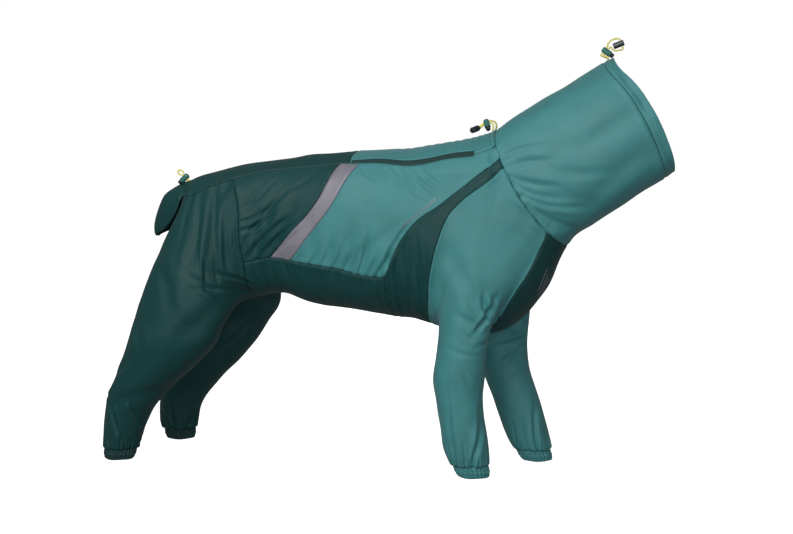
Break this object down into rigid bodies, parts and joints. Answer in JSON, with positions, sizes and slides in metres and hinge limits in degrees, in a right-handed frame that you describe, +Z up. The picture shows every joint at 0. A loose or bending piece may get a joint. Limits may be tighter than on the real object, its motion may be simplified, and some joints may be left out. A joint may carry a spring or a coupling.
{
  "type": "dog rain suit",
  "caption": "Hooded four-leg rain suit for a dog, worn and filled out with no wearer, with elastic cuffs, tail flap, reflective side stripe and drawcords.",
  "frame": {"origin": "inside of the back at mid-length, on the suit's middle line, where the wearer carries it", "axes": "+X from tail to head, +Z up, the wearer's right side faces -Y"},
  "size_m": [0.9115, 0.2752, 0.677],
  "materials": {
    "light_teal_cloth": "coated nylon, slight sheen",
    "dark_green_cloth": "coated nylon, slight sheen",
    "reflective_tape": "glass-bead reflective, grey",
    "dark_elastic": "ribbed elastic and zip tape",
    "teal_plastic": "moulded",
    "black_plastic": "moulded",
    "lime_cord": "braided elastic cord"
  },
  "bodies": {
    "suit": {"back_front": "light_teal_cloth", "back_rear": "dark_green_cloth", "belly": "dark_green_cloth", "chest": "dark_green_cloth", "chest_band": "dark_green_cloth", "cord_end_hood": "black_plastic", "cord_end_neck": "black_plastic", "cord_hood": "lime_cord", "cord_neck_lower": "lime_cord", "cord_neck_upper": "lime_cord", "cord_tail": "lime_cord", "front_cuff_left": "light_teal_cloth", "front_cuff_right": "light_teal_cloth", "front_leg_left": "light_teal_cloth", "front_leg_right": "light_teal_cloth", "hind_cuff_left": "dark_elastic", "hind_cuff_right": "dark_elastic", "hind_leg_left": "dark_green_cloth", "hind_leg_right": "dark_green_cloth", "hood": "light_teal_cloth", "hood_hem": "light_teal_cloth", "lock_hood": "teal_plastic", "lock_neck": "teal_plastic", "lock_tail": "teal_plastic", "neck_casing": "light_teal_cloth", "side_dark_left": "dark_green_cloth", "side_dark_right": "dark_green_cloth", "side_light_left": "light_teal_cloth", "side_light_right": "light_teal_cloth", "stripe_left": "reflective_tape", "stripe_right": "reflective_tape", "tail_flap": "dark_green_cloth", "zip_tape": "dark_elastic"},
    "plunger_hood": {"plunger_hood": "black_plastic"},
    "plunger_neck": {"plunger_neck": "black_plastic"},
    "plunger_tail": {"plunger_tail": "black_plastic"}
  },
  "joints": [
    {"name": "plunger_hood_press", "type": "slide", "parent": "suit", "child": "plunger_hood", "axis": [-0.8083, 0, 0.5888], "range_m": [0, 0.0022], "stiffness_N_per_m": 250},
    {"name": "plunger_neck_press", "type": "slide", "parent": "suit", "child": "plunger_neck", "axis": [-0.3192, 0.6184, 0.7181], "range_m": [0, 0.0022], "stiffness_N_per_m": 250},
    {"name": "plunger_tail_press", "type": "slide", "parent": "suit", "child": "plunger_tail", "axis": [0.7507, 0, 0.6606], "range_m": [0, 0.0022], "stiffness_N_per_m": 250}
  ]
}
